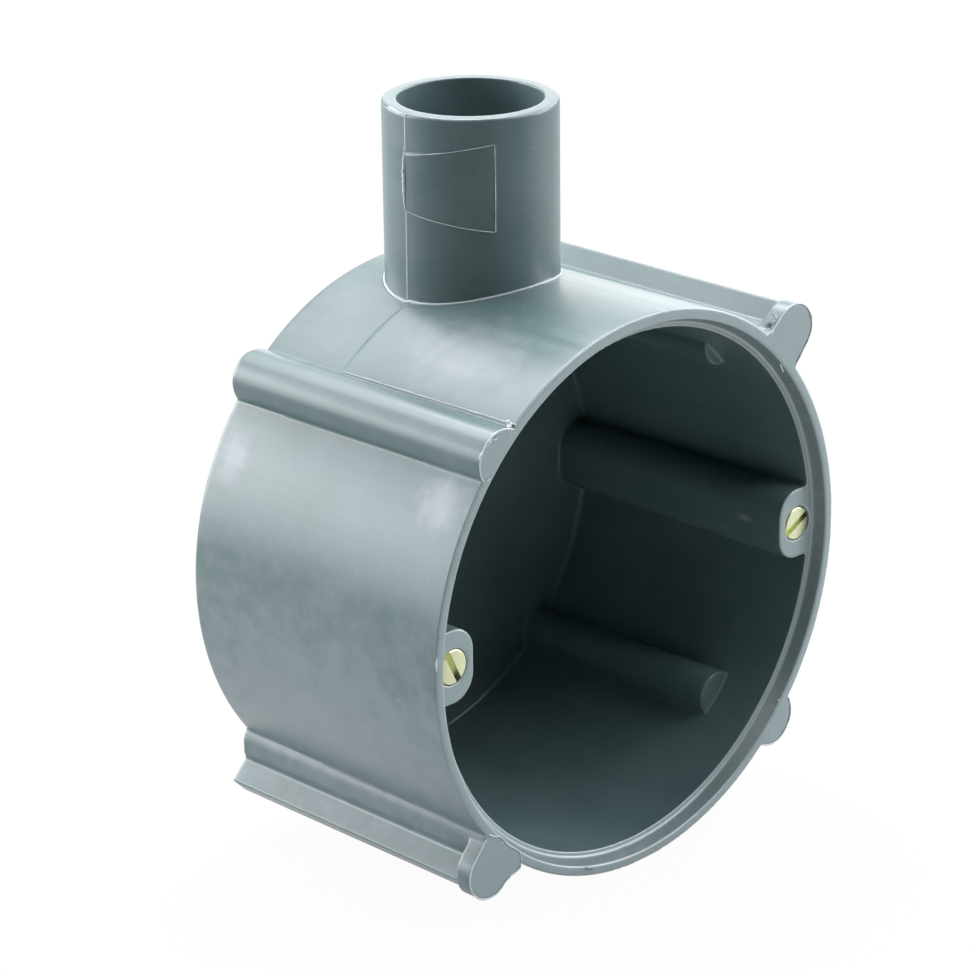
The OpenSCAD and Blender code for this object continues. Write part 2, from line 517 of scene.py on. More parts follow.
@dataclass
class Spout:
    """The conduit spout with its stop, its throat and the insert's pad."""

    sizes: CupSizes
    radius: float = 10.5
    socket_radius: float = 8.7
    throat_radius: float = 7.2
    rise: float = 21.0
    stop_rise: float = 3.5
    back: float = 13.5
    edge: float = 0.4
    pad_step: float = 0.12
    pad_width: float = 10.9
    pad_left: float = 6.7
    pad_right: float = 10.5
    pad_drop: float = 8.3
    pad_turn: float = -61.0
    pad_root: float = 1.0
    pad_steps: int = 24
    edge_steps: int = 4
    facets: int = 180

    @property
    def top(self) -> float:
        """Height of the spout's top above the cup's axis."""
        return self.sizes.rim_radius + self.rise

    def place(self, mesh: Solid) -> Solid:
        """Moves a solid from the spout's axis to the cup, still in millimetres.

        Args:
            mesh: A solid that stands on the spout's axis.

        Returns:
            The same solid, lying as the cup's solids do before their turn.
        """
        lie = Matrix.Rotation(math.radians(-90), 4, "X")
        mesh.transform(lie @ Matrix.Translation((0, -self.back, 0)))
        return mesh

    def tube(self) -> Solid:
        """Turns the tube and fits its foot into the cup's wall."""
        s = self.sizes
        foot, stop = s.mid_wall, s.rim_radius + self.stop_rise
        lip = (self.radius - self.edge, self.top - self.edge)
        profile = [
            (self.radius, foot),
            (self.radius, stop),
            (self.radius, self.top - self.edge),
            *arc(lip, self.edge, 0, 90, self.edge_steps),
            (self.socket_radius, self.top),
            (self.socket_radius, stop),
            (self.throat_radius, stop),
            (self.throat_radius, foot),
        ]
        mesh = lathe(profile, self.facets)
        for vertex in mesh.vertices:
            if abs(vertex.co.z - foot) < TOUCH:
                vertex.co.z = math.sqrt(foot**2 - vertex.co.x**2)
        return self.place(mesh)

    def pad(self) -> Solid:
        """Builds the thin pad that a mould insert left on the spout."""
        face, root = self.radius + self.pad_step, self.radius - self.pad_root
        middle = self.top - self.pad_drop
        rings = []
        for i in range(self.pad_steps + 1):
            share = i / self.pad_steps
            side = self.pad_width * (share - 0.5)
            half = (self.pad_left + (self.pad_right - self.pad_left) * share) / 2
            angle = math.asin(side / face) + math.radians(self.pad_turn - 90)
            ring = []
            for reach, height in ((root, -half), (face, -half), (face, half), (root, half)):
                x, y = reach * math.cos(angle), reach * math.sin(angle)
                ring.append(Vector((x, y, middle + height)))
            rings.append(ring)
        return self.place(mesh_from(rings, closed=False, capped=True))

    def throat_cutter(self) -> Solid:
        """Builds what opens the cup's wall under the spout."""
        low, high = self.sizes.mid_wall / 2, self.top
        profile = [(0, low), (self.throat_radius, low), (self.throat_radius, high), (0, high)]
        return self.place(lathe(profile, self.facets))


@dataclass
class ScrewPosts:
    """The two posts that hold the device screws."""

    sizes: CupSizes
    reach: float = 3.25
    width: float = 9.0
    corner: float = 3.2
    setback: float = 1.86
    head_recess: float = 2.2
    head_height: float = 1.8
    hole_radius: float = 1.65
    hole_depth: float = 16.0
    corner_steps: int = 12
    facets: int = 64

    @property
    def face(self) -> float:
        """Height of the posts' faces above the back."""
        return self.sizes.depth - self.setback

    def post(self) -> Solid:
        """Builds the post that stands towards +X, without its hole."""
        s = self.sizes
        inner = s.screw_x - self.reach + self.corner
        side = self.width / 2 - self.corner
        outline = [
            (s.mid_wall, -self.width / 2),
            *arc((inner, -side), self.corner, 270, 180, self.corner_steps),
            *arc((inner, side), self.corner, 180, 90, self.corner_steps),
            (s.mid_wall, self.width / 2),
        ]
        return prism(held_within(outline, 0, s.mid_wall), s.floor_wall / 2, self.face)

    def hole(self) -> Solid:
        """Builds the stepped hole of the screw towards +X."""
        seat = self.face - self.head_height
        profile = [
            (0, seat - self.hole_depth),
            (self.hole_radius, seat - self.hole_depth),
            (self.hole_radius, seat),
            (self.head_recess, seat),
            (self.head_recess, self.sizes.depth),
            (0, self.sizes.depth),
        ]
        mesh = lathe(profile, self.facets)
        mesh.transform(Matrix.Translation((self.sizes.screw_x, 0, 0)))
        return mesh


@dataclass
class OuterRibs:
    """The round bars and the capped fins down the outside."""

    sizes: CupSizes
    bar_radius: float = 3.5
    bar_sink: float = 1.0
    bar_edge: float = 0.7
    neck_radius: float = 4.1
    neck_sink: float = 1.6
    fin_reach: float = 5.5
    fin_tip: float = 2.8
    fin_root: float = 2.9
    cap_thick: float = 2.3
    cap_reach: float = 6.15
    cap_radius: float = 3.25
    cap_root: float = 7.0
    pocket_place: Place = (35.55, 3.5, 40.55)
    pocket_size: Place = (0.5, 0.42, 0.55)
    nub_outline: tuple[Point, ...] = (
        (33.2, 2.4), (33.5, 3.1), (34.0, 3.95), (34.6, 4.35),
        (35.1, 4.3), (36.1, 3.6), (37.4, 3.25), (37.4, 2.4),
    )
    nub_thick: float = 0.7
    edge_steps: int = 5
    cap_steps: int = 32
    facets: int = 96

    def _rod(self, centre: float, radius: float, edge: float) -> Solid:
        """Builds a round rod down the wall with a rounded back end.

        Args:
            centre: Distance of the rod's axis from the cup's axis.
            radius: The rod's radius.
            edge: Radius of its back edge.

        Returns:
            The rod, held inside the wall where it meets the cup.
        """
        steps = self.edge_steps if edge else 0
        turns = [math.pi / 2 * i / steps for i in range(steps)]
        levels = [(edge * (1 - math.cos(t)), edge * (1 - math.sin(t))) for t in turns]
        levels += [(edge, 0.0), (self.sizes.depth, 0.0)]
        rings = []
        for height, inset in levels:
            outline = arc((centre, 0), radius - inset, 0, 360, self.facets)[:-1]
            held = held_within(outline, self.sizes.mid_wall, centre + radius)
            rings.append([Vector((x, y, height)) for x, y in held])
        return mesh_from(rings, closed=False, capped=True)

    def bar_outline(self) -> list[Point]:
        """Gives a bar's cross-section towards +X."""
        centre = self.sizes.rim_radius - self.bar_sink
        return arc((centre, 0), self.bar_radius, -180, 180, self.facets)[:-1]

    def cap_outline(self) -> list[Point]:
        """Gives a stop cap's outline towards +X."""
        s = self.sizes
        axis = s.rim_radius + self.cap_reach - self.cap_radius
        return [
            (s.mid_wall, -self.cap_root / 2),
            *arc((axis, 0), self.cap_radius, -90, 90, self.cap_steps),
            (s.mid_wall, self.cap_root / 2),
        ]

    def bar(self) -> Solid:
        """Builds one round bar."""
        return self._rod(self.sizes.rim_radius - self.bar_sink, self.bar_radius, self.bar_edge)

    def pocket(self) -> Solid:
        """Builds the small air pocket that the mould left behind a cap's root."""
        ball = lathe([(0, -1), *arc((0, 0), 1.0, -75, 75, 8), (0, 1)], 24)
        size = Matrix.Diagonal((*self.pocket_size, 1.0))
        ball.transform(Matrix.Translation(self.pocket_place) @ size)
        return ball

    def fin(self) -> list[Solid]:
        """Builds one fin: its round neck, its blade and its stop cap."""
        s = self.sizes
        end = s.rim_radius + self.fin_reach
        root, tip = self.fin_root / 2, self.fin_tip / 2
        knee = s.rim_radius + self.neck_sink
        half = [(s.mid_wall, root), (knee, root), (end, tip)]
        blade = [(x, -y) for x, y in half] + half[::-1]
        pocket = self.pocket()
        return [
            Workshop.cut(self._rod(s.rim_radius - self.neck_sink, self.neck_radius, 0.0), [pocket]),
            prism(blade, 0, s.depth),
            Workshop.cut(prism(self.cap_outline(), s.depth - self.cap_thick, s.depth), [pocket]),
        ]

    def nub(self) -> Solid:
        """Builds the thin shoulder of flash at the lower cap's root."""
        depth = self.sizes.depth
        return prism(self.nub_outline, depth - self.nub_thick, depth)


@dataclass
class InnerRibs:
    """The half-round ribs on the inner wall."""

    sizes: CupSizes
    radius: float = 2.9
    bar_setback: float = 8.3
    fin_setback: float = 9.0
    fin_sink: float = 1.3
    facets: int = 64

    def rib(self, setback: float, sink: float) -> Solid:
        """Builds one rib.

        Args:
            setback: Depth of its end below the rim.
            sink: How much less it stands out.

        Returns:
            The rib, held inside the wall.
        """
        s = self.sizes
        outline = arc((s.ledge_radius + sink, 0), self.radius, 0, 360, self.facets)[:-1]
        return prism(held_within(outline, 0, s.mid_wall), s.floor_wall / 2, s.depth - setback)


class BeadTree:
    """Geometry tree that lays a thin, uneven bead along the edges of a mesh."""

    PROFILE_SIDES = 8
    # Least radius in millimetres, so that a tapered end stays closed
    LEAST_RADIUS = 0.004

    def __init__(self) -> None:
        """Builds the tree."""
        sizes = dict.fromkeys(("Radius", "Ragged", "Grain", "Step", "Taper"), "Float")
        tree = blank_geometry("flash_bead", {**sizes, "Seed": "Int"})
        given = add_node(tree, "NodeGroupInput").outputs
        path = add_node(tree, "GeometryNodeMeshToCurve", {"Mesh": given["Geometry"]})
        even = add_node(
            tree,
            "GeometryNodeResampleCurve",
            {"Curve": path.outputs[0], "Length": given["Step"]},
            mode="LENGTH",
        )
        place = add_node(tree, "GeometryNodeInputPosition")
        fine = add_node(tree, "ShaderNodeMath", {0: 1.0, 1: given["Grain"]}, operation="DIVIDE")
        rough = add_node(
            tree,
            "ShaderNodeTexNoise",
            {
                "Vector": place.outputs[0],
                "W": given["Seed"],
                "Scale": fine.outputs[0],
                "Detail": 2.0,
            },
            noise_dimensions="4D",
        )
        centred = add_node(
            tree,
            "ShaderNodeVectorMath",
            {0: rough.outputs["Color"], 1: (0.5, 0.5, 0.5)},
            operation="SUBTRACT",
        )
        reach = add_node(
            tree, "ShaderNodeMath", {0: given["Radius"], 1: given["Ragged"]}, operation="MULTIPLY"
        )
        push = add_node(
            tree,
            "ShaderNodeVectorMath",
            {0: centred.outputs[0], 3: reach.outputs[0]},
            operation="SCALE",
        )
        moved = add_node(
            tree,
            "GeometryNodeSetPosition",
            {"Geometry": even.outputs[0], "Offset": push.outputs[0]},
        )
        swing = add_node(
            tree, "ShaderNodeMath", {0: rough.outputs["Fac"], 1: 0.5}, operation="SUBTRACT"
        )
        factor = add_node(
            tree,
            "ShaderNodeMath",
            {0: swing.outputs[0], 1: given["Ragged"], 2: 1.0},
            operation="MULTIPLY_ADD",
        )
        width = add_node(
            tree, "ShaderNodeMath", {0: factor.outputs[0], 1: given["Radius"]}, operation="MULTIPLY"
        )
        along = add_node(tree, "GeometryNodeSplineParameter").outputs["Factor"]
        left = add_node(tree, "ShaderNodeMath", {0: 1.0, 1: along}, operation="SUBTRACT")
        hump = add_node(
            tree,
            "ShaderNodeMath",
            {0: along, 1: left.outputs[0]},
            operation="MULTIPLY",
        )
        full = add_node(tree, "ShaderNodeMath", {0: hump.outputs[0], 1: 4.0}, operation="MULTIPLY")
        slim = add_node(
            tree,
            "ShaderNodeMath",
            {0: full.outputs[0], 1: given["Taper"]},
            operation="POWER",
        )
        drawn = add_node(
            tree, "ShaderNodeMath", {0: width.outputs[0], 1: slim.outputs[0]}, operation="MULTIPLY"
        )
        least = add_node(
            tree,
            "ShaderNodeMath",
            {0: drawn.outputs[0], 1: self.LEAST_RADIUS},
            operation="MAXIMUM",
        )
        ring = add_node(
            tree,
            "GeometryNodeCurvePrimitiveCircle",
            {"Resolution": self.PROFILE_SIDES, "Radius": 1.0},
        )
        bead = add_node(
            tree,
            "GeometryNodeCurveToMesh",
            {
                "Curve": moved.outputs[0],
                "Profile Curve": ring.outputs[0],
                "Scale": least.outputs[0],
                "Fill Caps": True,
            },
        )
        end_geometry(tree, bead.outputs[0], given["Material"])
        self.tree = tree


@dataclass(frozen=True)
class Seam:
    """One thin line of flash: its path, whether it closes, and how it looks."""

    path: Path
    radius: float = 0.06
    ragged: float = 1.5
    closed: bool = False
    step: float = 0.3
    grain: float = 1.5
    taper: float = 0.0


@dataclass
class FlashLines:
    """Flash along the edges where the mould's parts met, a few burrs, and fillet beads at the feet
    in a pale painted highlight.
    """

    sizes: CupSizes
    cup: Cup
    spout: Spout
    outer: OuterRibs
    seed: int = 7
    # Facets and steps along the lines, and what lifts a line out of its corner
    foot_facets: int = 120
    foot_lift: float = 0.05
    slide_steps: int = 30
    pad_steps: int = 12
    shares: tuple[float, ...] = (0.0, 0.25, 0.5, 0.75)
    neck_depths: tuple[float, ...] = (0.4, 8.0, 16.0, 24.0, 32.0)
    neck_gap: float = 1.5
    # The lower cap's outline is its own outside these, and the nub's between them
    nub_side: float = 3.0
    nub_end: float = 36.1
    # Burrs as (path, radius): two on the spout's left seam and lip, six on the
    # upper left bar, four on the upper right cap, and one each on the lower right
    # bar, the lower left cap and the rim's left edge
    slivers: tuple[tuple[Path, float], ...] = (
        (
            ((-10.52, 51.4, 13.1), (-10.6, 49.0, 12.95), (-10.6, 46.5, 12.95), (-10.5, 43.4, 13.1)),
            0.2,
        ),
        (
            ((-9.4, 55.42, 9.3), (-9.9, 55.42, 10.6), (-10.3, 55.36, 11.8), (-10.4, 55.3, 13.0)),
            0.13,
        ),
        (((-22.9, 26.8, 41.4), (-22.2, 27.1, 41.1), (-21.6, 27.3, 40.5)), 0.24),
        (((-22.3, 26.9, 41.2), (-22.0, 27.4, 40.8), (-22.1, 27.8, 40.5)), 0.2),
        (((-26.6, 25.6, 41.4), (-25.9, 26.25, 41.45), (-25.2, 26.6, 41.4)), 0.16),
        (((-25.3, 26.5, 41.45), (-24.9, 26.4, 41.5), (-24.5, 26.5, 41.5)), 0.1),
        (((-27.4, 24.6, 41.4), (-27.0, 25.2, 41.45), (-26.7, 25.6, 41.4)), 0.13),
        (((-26.6, 21.9, 41.4), (-26.1, 21.9, 41.48), (-25.7, 22.0, 41.45)), 0.08),
        (((23.2, 28.0, 41.0), (23.6, 28.2, 40.8), (24.1, 28.75, 40.6)), 0.18),
        (((23.7, 28.25, 41.0), (23.6, 28.8, 40.6), (23.4, 29.2, 40.4)), 0.13),
        (((22.3, 26.9, 41.4), (22.6, 27.2, 41.3), (22.75, 27.6, 41.2)), 0.12),
        (((24.1, 22.7, 41.2), (24.6, 22.0, 41.1), (25.05, 21.3, 41.0)), 0.1),
        (((24.85, -21.95, 41.2), (25.1, -21.6, 41.25)), 0.1),
        (((-24.0, -23.4, 41.4), (-24.6, -23.3, 41.45)), 0.1),
        (((-34.4, 3.1, 41.4), (-34.5, 2.3, 41.45), (-34.5, 1.4, 41.4)), 0.12),
    )
    # Edge of the lower left cap's face where it crosses the rim
    lower_cap_edge: Path = (
        (-26.51, -21.60, 41.4),
        (-25.70, -22.09, 41.4),
        (-24.78, -22.36, 41.4),
        (-24.06, -23.14, 41.4),
        (-23.25, -24.14, 41.4),
        (-22.34, -24.86, 41.4),
        (-21.60, -25.39, 41.4),
        (-21.35, -26.07, 41.4),
        (-21.20, -26.90, 41.4),
    )
    # Raised lip of the nick in the rim's edge
    nick: Path = ((-10.4, -31.7, 41.45), (-9.4, -32.0, 41.5), (-8.4, -32.3, 41.45))

    def front_outlines(self) -> list[Path]:
        """Gives the outer outlines of the bars' and the caps' front faces."""
        nub, cap, bar = self.outer.nub_outline, self.outer.cap_outline(), self.outer.bar_outline()
        lower_cap = [p for p in cap if p[1] < self.nub_side or p[0] > self.nub_end]
        lower_cap += nub[5:1:-1]
        fins, bars = Rib.FIN.value, Rib.BAR.value
        outlines = []
        sides = ((fins, cap), (bars, bar), (fins + 180, lower_cap), (bars + 180, bar))
        for angle, outline in sides:
            path = []
            for (x0, y0), (x1, y1) in zip(outline, outline[1:]):
                for share in self.shares:
                    x, y = x0 + (x1 - x0) * share, y0 + (y1 - y0) * share
                    if math.hypot(x, y) > self.sizes.rim_radius:
                        point = Vector((x, y, self.sizes.depth))
                        path.append(tuple(Matrix.Rotation(math.radians(angle), 3, "Z") @ point))
            outlines.append(tuple(path))
        return outlines

    def neck_foot(self) -> Path:
        """Gives the corner between the upper right fin's neck and the top of the cup."""
        s, ribs = self.sizes, self.outer
        centre = s.rim_radius - ribs.neck_sink
        points = []
        for depth in (*self.neck_depths, s.depth - ribs.cap_thick - self.neck_gap):
            reach = s.outer_radius(depth)
            share = (reach**2 + centre**2 - ribs.neck_radius**2) / (2 * reach * centre)
            angle = math.radians(Rib.FIN.value) + math.acos(share)
            points.append((reach * math.cos(angle), reach * math.sin(angle), depth))
        return tuple(points)

    def spout_foot(self) -> Path:
        """Gives the corner between the spout and the cup, all the way round."""
        reach = self.spout.radius + self.foot_lift
        points = []
        for x, along in arc((0, 0), reach, 0, 360, self.foot_facets)[:-1]:
            depth = self.spout.back + along
            patch = self.cup.slide_step if depth > self.cup.slide_start else 0.0
            outer = self.sizes.outer_radius(depth) + patch + self.foot_lift
            points.append((x, math.sqrt(outer**2 - x**2), depth))
        return tuple(points)

    def slide_edge(self, side: int) -> Path:
        """Gives the slide's edge along the box on one side.

        Args:
            side: -1 for the left, 1 for the right.

        Returns:
            The points.
        """
        s, cup = self.sizes, self.cup
        points = []
        for i in range(self.slide_steps + 1):
            depth = cup.slide_start + (s.depth - cup.slide_start) * i / self.slide_steps
            outer = s.outer_radius(depth) + cup.slide_step
            points.append((side * cup.slide_half, math.sqrt(outer**2 - cup.slide_half**2), depth))
        return tuple(points)

    def pad_edge(self) -> Path:
        """Gives the outline of the insert's pad on the spout."""
        pad = self.spout
        reach = pad.radius + pad.pad_step
        corners = [(-1, -pad.pad_left), (1, -pad.pad_right), (1, pad.pad_right), (-1, pad.pad_left)]
        points = []
        for (a, low), (b, high) in zip(corners, corners[1:] + corners[:1]):
            for i in range(self.pad_steps):
                share = i / self.pad_steps
                side = (a + (b - a) * share) * pad.pad_width / 2
                height = pad.top - pad.pad_drop + (low + (high - low) * share) / 2
                angle = math.asin(side / reach) + math.radians(pad.pad_turn - 90)
                points.append((reach * math.cos(angle), height, pad.back - reach * math.sin(angle)))
        return tuple(points)

    def seams(self) -> dict[str, list[Seam]]:
        """Lists every line of flash, and the fillet beads with their painted highlight, by the
        piece that it belongs to.
        """
        top, radius = self.spout.top, self.spout.radius
        return {
            "flash_front": [
                *(Seam(path, 0.1, 1.2, grain=0.9) for path in self.front_outlines()),
                Seam(self.lower_cap_edge, 0.09, 1.2, grain=0.9),
                Seam(((-22.58, 26.70, 41.4), (-22.74, 25.75, 41.4)), 0.05, taper=0.5),
                Seam(((23.31, -25.10, 41.4), (23.30, -26.20, 41.4)), 0.05, taper=0.5),
                Seam(self.nick, 0.2, 0.5, taper=0.5),
            ],
            "flash_slide": [Seam(self.slide_edge(-1), 0.07), Seam(self.slide_edge(1), 0.07)],
            "flash_spout": [
                Seam(self.pad_edge(), 0.05, 3.0, True, grain=3.0),
                Seam(((-10.42, 33.0, 13.1), (-10.42, top - 0.1, 13.25)), 0.13, 0.5),
                Seam(((radius, 33.0, self.spout.back), (radius, top - 0.2, self.spout.back)), 0.05),
            ],
            # The fillet beads at the spout's and the neck's feet get the pale flash finish as a
            # painted highlight
            "fillet_highlight_beads": [
                Seam(self.spout_foot(), 0.15, 0.5, closed=True),
                Seam(self.neck_foot(), 0.32, 0.3),
            ],
            "burrs": [self._sliver(path, radius) for path, radius in self.slivers],
        }

    @staticmethod
    def _sliver(path: Sequence[Place], radius: float) -> Seam:
        """Makes a rough seam that thins out at both ends.

        Args:
            path: Its points.
            radius: Its radius in the middle.

        Returns:
            The seam.
        """
        return Seam(tuple(path), radius, ragged=2.2, step=0.06, grain=0.3, taper=0.6)

    def build(self, material: bpy.types.Material) -> list[bpy.types.Object]:
        """Lays all the flash as fine beads.

        Args:
            material: The finish of thin flash, which also paints the highlight on the fillet beads.

        Returns:
            The finished pieces, riding on the frame.
        """
        bead = BeadTree().tree
        pieces = []
        for name, seams in self.seams().items():
            shape = bmesh.new()
            for number, seam in enumerate(seams):
                count = len(seam.path)
                edges = [(i, i + 1) for i in range(count - 1)]
                if seam.closed:
                    edges.append((count - 1, 0))
                line = bpy.data.meshes.new("path")
                line.from_pydata(seam.path, edges, [])
                values = {
                    "Radius": seam.radius,
                    "Ragged": seam.ragged,
                    "Grain": seam.grain,
                    "Step": seam.step,
                    "Taper": seam.taper,
                    "Seed": self.seed + number,
                    "Material": material,
                }
                shape.from_mesh(Workshop.grow(line, bead, values))
            mesh = bpy.data.meshes.new(name)
            for polygon in shape.faces:
                polygon.smooth = True
            shape.to_mesh(mesh)
            shape.free()
            mesh.transform(FROM_BACK)
            mesh.materials.append(material)
            piece = bpy.data.objects.new(name, mesh)
            bpy.context.scene.collection.objects.link(piece)
            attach(piece, ROOT)
            pieces.append(piece)
        return pieces


class ThreadTree:
    """Geometry tree that winds a screw thread about the Z axis."""

    STEPS_A_TURN = 32
    RIDGE_SIDES = 6
    # Radius of the ridge as a share of the pitch
    RIDGE_SHARE = 0.4

    def __init__(self) -> None:
        """Builds the tree."""
        sizes = dict.fromkeys(("Root radius", "Length", "Pitch", "Foot"), "Float")
        tree = blank_geometry("screw_thread", sizes)
        given = add_node(tree, "NodeGroupInput").outputs
        turns = add_node(
            tree, "ShaderNodeMath", {0: given["Length"], 1: given["Pitch"]}, operation="DIVIDE"
        )
        helix = add_node(
            tree,
            "GeometryNodeCurveSpiral",
            {
                "Resolution": self.STEPS_A_TURN,
                "Rotations": turns.outputs[0],
                "Start Radius": given["Root radius"],
                "End Radius": given["Root radius"],
                "Height": given["Length"],
            },
        )
        ridge = add_node(
            tree,
            "GeometryNodeCurvePrimitiveCircle",
            {"Resolution": self.RIDGE_SIDES, "Radius": 1.0},
        )
        height = add_node(
            tree, "ShaderNodeMath", {0: given["Pitch"], 1: self.RIDGE_SHARE}, operation="MULTIPLY"
        )
        wound = add_node(
            tree,
            "GeometryNodeCurveToMesh",
            {
                "Curve": helix.outputs[0],
                "Profile Curve": ridge.outputs[0],
                "Scale": height.outputs[0],
                "Fill Caps": True,
            },
        )
        lift = add_node(tree, "ShaderNodeCombineXYZ", {"Z": given["Foot"]})
        placed = add_node(
            tree,
            "GeometryNodeSetPosition",
            {"Geometry": wound.outputs[0], "Offset": lift.outputs[0]},
        )
        both = add_node(tree, "GeometryNodeJoinGeometry", {0: given["Geometry"]})
        tree.links.new(placed.outputs[0], both.inputs[0])
        end_geometry(tree, both.outputs[0], given["Material"])
        self.tree = tree


@dataclass
class DeviceScrew:
    """A slotted cheese-head screw, flush with its post."""

    node: str
    side: int
    slot_angle: float
    posts: ScrewPosts
    head_radius: float = 2.1
    head_edge: float = 0.18
    core_radius: float = 1.36
    length: float = 14.0
    tip: float = 1.2
    # Length that the thread leaves free, in tips
    free_tips: float = 1.5
    pitch: float = 0.6
    slot_width: float = 0.8
    slot_depth: float = 0.9
    sharp_angle: float = 35.0
    edge_steps: int = 4
    facets: int = 64

    def build(self, thread: ThreadTree, material: bpy.types.Material) -> bpy.types.Object:
        """Builds the screw in its place.

        Args:
            thread: The tree that winds the thread.
            material: The screw's finish.

        Returns:
            The finished piece, riding on the frame in the CAD node's place.
        """
        face = self.posts.face
        seat = face - self.posts.head_height
        foot = seat - self.length
        corner = (self.head_radius - self.head_edge, face - self.head_edge)
        blank = lathe(
            [
                (0, foot),
                (self.core_radius / 2, foot),
                (self.core_radius, foot + self.tip),
                (self.core_radius, seat),
                (self.head_radius, seat),
                *arc(corner, self.head_edge, 0, 90, self.edge_steps),
                (0, face),
            ],
            self.facets,
        )
        reach, half = self.head_radius + 1, self.slot_width / 2
        corners = [(-reach, -half), (reach, -half), (reach, half), (-reach, half)]
        slot = prism(corners, face - self.slot_depth, face + 1)
        cut = Workshop.cut(blank, [turned(slot, self.slot_angle)])
        values = {
            "Root radius": self.core_radius,
            "Length": self.length - self.free_tips * self.tip,
            "Pitch": self.pitch,
            "Foot": foot + self.tip,
            "Material": material,
        }
        mesh = Workshop.grow(cut, thread.tree, values)
        mesh.transform(FROM_BACK @ Matrix.Translation((self.side * self.posts.sizes.screw_x, 0, 0)))
        mesh.name = self.node
        mesh.materials.clear()
        mesh.materials.append(material)
        for polygon in mesh.polygons:
            polygon.use_smooth = True
        mesh.set_sharp_from_angle(angle=math.radians(self.sharp_angle))
        piece = bpy.data.objects.new("dressed_" + self.node, mesh)
        bpy.context.scene.collection.objects.link(piece)
        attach(piece, ROOT)
        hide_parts(self.node)
        return piece


@dataclass(frozen=True)
class FlashPvcAndHighlight:
    """Finish of thin flash.

    The same PVC squeezed out paper thin, paler than the wall, and its torn edge is
    dull. The paleness is partly the flash's own and partly painted light for what
    goes into the thin flash; on the fillet beads at the feet it is a painted highlight.
    """

    name: str = "flash_pvc_and_fillet_highlight"
    # Pale colours: partly the thin flash's own, partly painted light
    colour: str = "#BCC6C9"
    dull: str = "#98A5A8"
    roughness: float = 0.5
    ior: float = 1.53
    patch_mm: float = 2.5

    def material(self) -> bpy.types.Material:
        """Builds the node material."""
        made, tree = blank_material(self.name)
        place = add_node(tree, "ShaderNodeTexCoord")
        uneven = add_node(
            tree,
            "ShaderNodeTexNoise",
            {"Vector": place.outputs["Object"], "Scale": 1 / (self.patch_mm * MM), "Detail": 3.0},
        )
        pale = add_node(
            tree,
            "ShaderNodeMix",
            {0: uneven.outputs["Fac"], 6: linear(self.colour), 7: linear(self.dull)},
            data_type="RGBA",
        )
        shader = add_node(
            tree,
            "ShaderNodeBsdfPrincipled",
            {"Base Color": pale.outputs[2], "Roughness": self.roughness, "IOR": self.ior},
        )
        add_node(tree, "ShaderNodeOutputMaterial", {"Surface": shader.outputs[0]})
        return made


@dataclass(frozen=True)
class BloomAndLight:
    """A pale, dull patch on the skin, partly bloom and partly painted light: its middle and its
    reach, in millimetres.
    """

    middle: Place
    reach: Place
    strength: float


